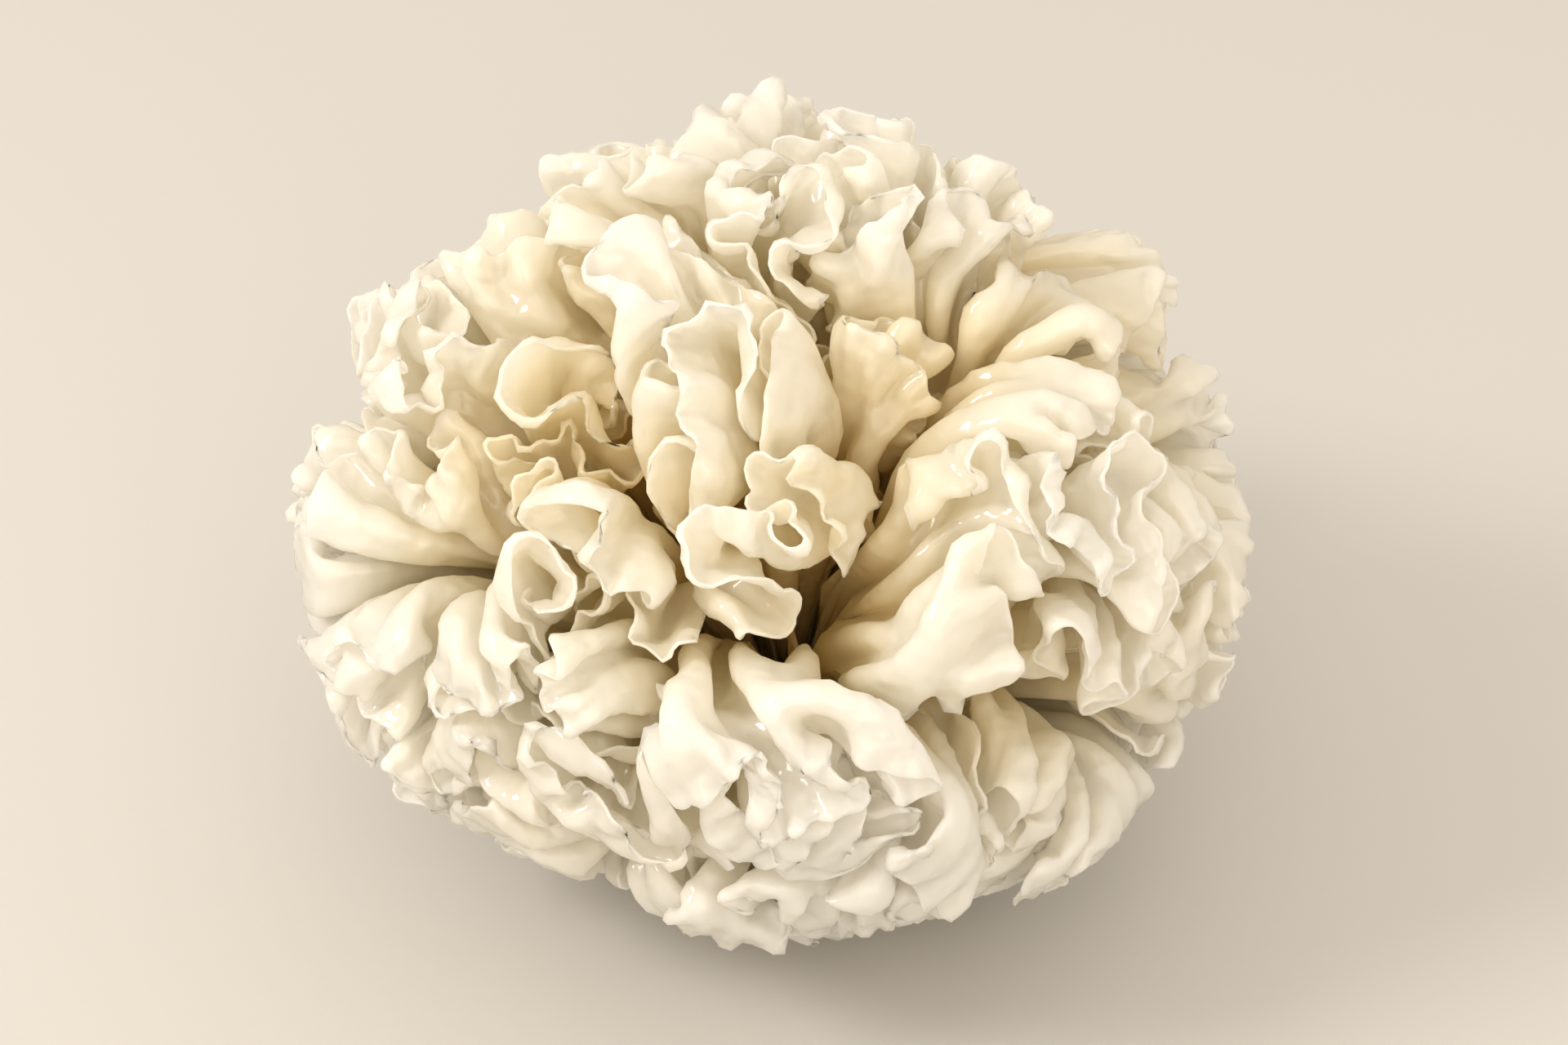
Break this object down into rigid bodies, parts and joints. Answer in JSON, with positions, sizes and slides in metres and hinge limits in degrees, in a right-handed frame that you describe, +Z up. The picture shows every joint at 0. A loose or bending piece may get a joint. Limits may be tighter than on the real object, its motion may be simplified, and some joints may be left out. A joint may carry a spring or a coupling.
{
  "type": "snow fungus",
  "caption": "Soaked snow fungus: a ball of thin, ruffled jelly fronds that fork from one short foot and curl over at their rims. It rests on the foot's flat cut.",
  "frame": {"origin": "middle of the flat cut under the foot, on the surface that the fungus rests on", "axes": "+X along the ball's width, the longest side; +Y away from the side that shows in the picture, along its depth; +Z up out of the cut, along its height, the shortest side"},
  "size_m": [0.1176, 0.1136, 0.0981],
  "materials": {
    "jelly": "wet, smooth and see-through like jelly, ivory, warmer where it is thick",
    "foot": "tough, dull amber, rough on the cut"
  },
  "bodies": {
    "root": {"foot": "foot", "frond_01": "jelly", "frond_02": "jelly", "frond_03": "jelly", "frond_04": "jelly", "frond_05": "jelly", "frond_06": "jelly", "frond_07": "jelly", "frond_08": "jelly", "frond_09": "jelly", "frond_10": "jelly", "frond_11": "jelly", "frond_12": "jelly", "frond_13": "jelly", "frond_14": "jelly", "frond_15": "jelly", "frond_16": "jelly", "frond_17": "jelly", "frond_18": "jelly", "frond_19": "jelly", "frond_20": "jelly", "frond_21": "jelly", "frond_22": "jelly", "frond_23": "jelly", "frond_24": "jelly", "frond_25": "jelly", "frond_26": "jelly", "frond_27": "jelly", "frond_28": "jelly", "frond_29": "jelly", "frond_30": "jelly", "frond_31": "jelly", "frond_32": "jelly", "frond_33": "jelly", "frond_34": "jelly", "frond_35": "jelly", "frond_36": "jelly", "frond_37": "jelly", "frond_38": "jelly", "frond_39": "jelly", "frond_40": "jelly", "frond_41": "jelly", "frond_42": "jelly", "frond_43": "jelly", "frond_44": "jelly", "frond_45": "jelly", "frond_46": "jelly", "frond_47": "jelly", "frond_48": "jelly"}
  },
  "joints": []
}
